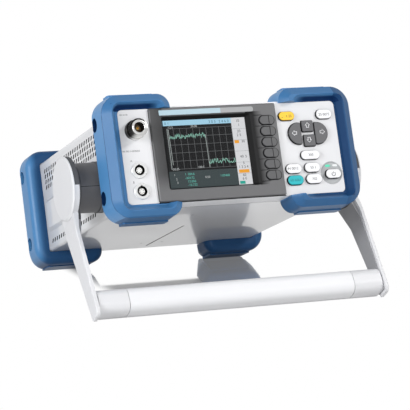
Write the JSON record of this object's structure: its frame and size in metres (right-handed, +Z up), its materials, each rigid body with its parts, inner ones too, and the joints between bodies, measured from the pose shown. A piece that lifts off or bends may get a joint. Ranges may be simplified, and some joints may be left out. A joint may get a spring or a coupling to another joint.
{
  "type": "rf power meter",
  "caption": "Half-rack bench RF power meter: tilted case on a swing handle, corner guards, screen, key panel, coaxial jack and round sensor sockets.",
  "frame": {"origin": "centre of the bounding box in X and Y, on the bench plane that the unit stands on", "axes": "+X to the right seen from the front, +Y from the front panel to the back, +Z up; the unit leans back by 19.7 degrees on its handle and its rear guards"},
  "size_m": [0.274, 0.2928, 0.1854],
  "materials": {
    "guard_blue": "satin",
    "case_pale": "satin",
    "panel_pale": "satin",
    "frame_grey": "satin",
    "bezel_grey": "matte",
    "window_clear": "gloss",
    "screen": "gloss",
    "key_white": "satin",
    "key_grey": "satin",
    "key_amber": "satin",
    "key_turquoise": "satin",
    "dish_grey": "satin",
    "lens": "gloss",
    "mat_rubber": "matte",
    "board_green": "satin",
    "plated": "polished",
    "gold_contact": "polished",
    "insulator": "matte",
    "handle_pale": "satin",
    "handle_bar_pale": "satin",
    "liner_dark": "satin",
    "steel": "satin",
    "supply_case": "satin",
    "black_plastic": "matte"
  },
  "bodies": {
    "unit": {"bnc_jacks": "plated", "cabinet_sleeve": "case_pale", "case_screws": "steel", "chassis_tray": "steel", "display_bezel": "bezel_grey", "display_module": "screen", "display_window": "window_clear", "fan_frame": "black_plastic", "front_board": "board_green", "front_frame": "frame_grey", "front_guard_left": "guard_blue", "front_guard_right": "guard_blue", "front_panel": "panel_pale", "guard_screws": "steel", "hub_drums": "liner_dark", "interface_sockets": "steel", "keypad_mat": "mat_rubber", "main_board": "board_green", "mains_inlet": "black_plastic", "power_key_dish": "dish_grey", "power_supply": "supply_case", "rear_guard_left": "guard_blue", "rear_guard_right": "guard_blue", "rear_panel": "case_pale", "rf_jack_body": "plated", "rf_jack_contact": "gold_contact", "rf_jack_insulator": "insulator", "sensor_socket_inserts": "insulator", "sensor_socket_pins": "gold_contact", "sensor_sockets": "plated", "side_rails": "frame_grey", "status_lenses": "lens"},
    "handle": {"handle_arm_left": "handle_pale", "handle_arm_right": "handle_pale", "handle_liner_left": "liner_dark", "handle_liner_right": "liner_dark", "hub_caps": "handle_pale", "handle_bar": "handle_bar_pale", "bar_ends": "handle_pale", "pivot_pins": "steel"},
    "key_yellow_cap": {"key_yellow": "key_amber"},
    "key_top_right_cap": {"key_top_right": "key_white"},
    "key_left_cap": {"key_left": "key_grey"},
    "key_up_cap": {"key_up": "key_grey"},
    "key_right_cap": {"key_right": "key_grey"},
    "key_down_cap": {"key_down": "key_grey"},
    "key_enter_cap": {"key_enter": "key_white"},
    "key_lower_left_cap": {"key_lower_left": "key_white"},
    "key_lower_right_cap": {"key_lower_right": "key_white"},
    "key_teal_cap": {"key_teal": "key_turquoise"},
    "key_bottom_right_cap": {"key_bottom_right": "key_white"},
    "key_power_cap": {"key_power": "key_white"},
    "softkey_1_cap": {"softkey_1": "key_grey"},
    "softkey_2_cap": {"softkey_2": "key_grey"},
    "softkey_3_cap": {"softkey_3": "key_grey"},
    "softkey_4_cap": {"softkey_4": "key_grey"},
    "softkey_5_cap": {"softkey_5": "key_grey"},
    "softkey_6_cap": {"softkey_6": "key_grey"},
    "fuse_drawer_body": {"fuse_drawer": "black_plastic"},
    "fan_wheel": {"fan_rotor": "black_plastic"}
  },
  "joints": [
    {"name": "handle_swing", "type": "hinge", "parent": "unit", "child": "handle", "pos_m": [0, -0.06216, 0.10233], "axis": [-1, 0, 0], "range_deg": [-80, 205]},
    {"name": "key_yellow_press", "type": "slide", "parent": "unit", "child": "key_yellow_cap", "axis": [0, 0.9415, -0.3371], "range_m": [0, 0.0012], "stiffness_N_per_m": 500},
    {"name": "key_top_right_press", "type": "slide", "parent": "unit", "child": "key_top_right_cap", "axis": [0, 0.9415, -0.3371], "range_m": [0, 0.0012], "stiffness_N_per_m": 500},
    {"name": "key_left_press", "type": "slide", "parent": "unit", "child": "key_left_cap", "axis": [0, 0.9415, -0.3371], "range_m": [0, 0.0012], "stiffness_N_per_m": 500},
    {"name": "key_up_press", "type": "slide", "parent": "unit", "child": "key_up_cap", "axis": [0, 0.9415, -0.3371], "range_m": [0, 0.0012], "stiffness_N_per_m": 500},
    {"name": "key_right_press", "type": "slide", "parent": "unit", "child": "key_right_cap", "axis": [0, 0.9415, -0.3371], "range_m": [0, 0.0012], "stiffness_N_per_m": 500},
    {"name": "key_down_press", "type": "slide", "parent": "unit", "child": "key_down_cap", "axis": [0, 0.9415, -0.3371], "range_m": [0, 0.0012], "stiffness_N_per_m": 500},
    {"name": "key_enter_press", "type": "slide", "parent": "unit", "child": "key_enter_cap", "axis": [0, 0.9415, -0.3371], "range_m": [0, 0.0012], "stiffness_N_per_m": 500},
    {"name": "key_lower_left_press", "type": "slide", "parent": "unit", "child": "key_lower_left_cap", "axis": [0, 0.9415, -0.3371], "range_m": [0, 0.0012], "stiffness_N_per_m": 500},
    {"name": "key_lower_right_press", "type": "slide", "parent": "unit", "child": "key_lower_right_cap", "axis": [0, 0.9415, -0.3371], "range_m": [0, 0.0012], "stiffness_N_per_m": 500},
    {"name": "key_teal_press", "type": "slide", "parent": "unit", "child": "key_teal_cap", "axis": [0, 0.9415, -0.3371], "range_m": [0, 0.0012], "stiffness_N_per_m": 500},
    {"name": "key_bottom_right_press", "type": "slide", "parent": "unit", "child": "key_bottom_right_cap", "axis": [0, 0.9415, -0.3371], "range_m": [0, 0.0012], "stiffness_N_per_m": 500},
    {"name": "key_power_press", "type": "slide", "parent": "unit", "child": "key_power_cap", "axis": [0, 0.9415, -0.3371], "range_m": [0, 0.0012], "stiffness_N_per_m": 500},
    {"name": "softkey_1_press", "type": "slide", "parent": "unit", "child": "softkey_1_cap", "axis": [0, 0.9415, -0.3371], "range_m": [0, 0.0012], "stiffness_N_per_m": 500},
    {"name": "softkey_2_press", "type": "slide", "parent": "unit", "child": "softkey_2_cap", "axis": [0, 0.9415, -0.3371], "range_m": [0, 0.0012], "stiffness_N_per_m": 500},
    {"name": "softkey_3_press", "type": "slide", "parent": "unit", "child": "softkey_3_cap", "axis": [0, 0.9415, -0.3371], "range_m": [0, 0.0012], "stiffness_N_per_m": 500},
    {"name": "softkey_4_press", "type": "slide", "parent": "unit", "child": "softkey_4_cap", "axis": [0, 0.9415, -0.3371], "range_m": [0, 0.0012], "stiffness_N_per_m": 500},
    {"name": "softkey_5_press", "type": "slide", "parent": "unit", "child": "softkey_5_cap", "axis": [0, 0.9415, -0.3371], "range_m": [0, 0.0012], "stiffness_N_per_m": 500},
    {"name": "softkey_6_press", "type": "slide", "parent": "unit", "child": "softkey_6_cap", "axis": [0, 0.9415, -0.3371], "range_m": [0, 0.0012], "stiffness_N_per_m": 500},
    {"name": "fuse_drawer_pull", "type": "slide", "parent": "unit", "child": "fuse_drawer_body", "axis": [0, 0.9415, -0.3371], "range_m": [0, 0.02]},
    {"name": "fan_spin", "type": "hinge", "parent": "unit", "child": "fan_wheel", "pos_m": [0.014, 0.09904, 0.0598], "axis": [0, 0.9415, -0.3371], "continuous": true}
  ]
}
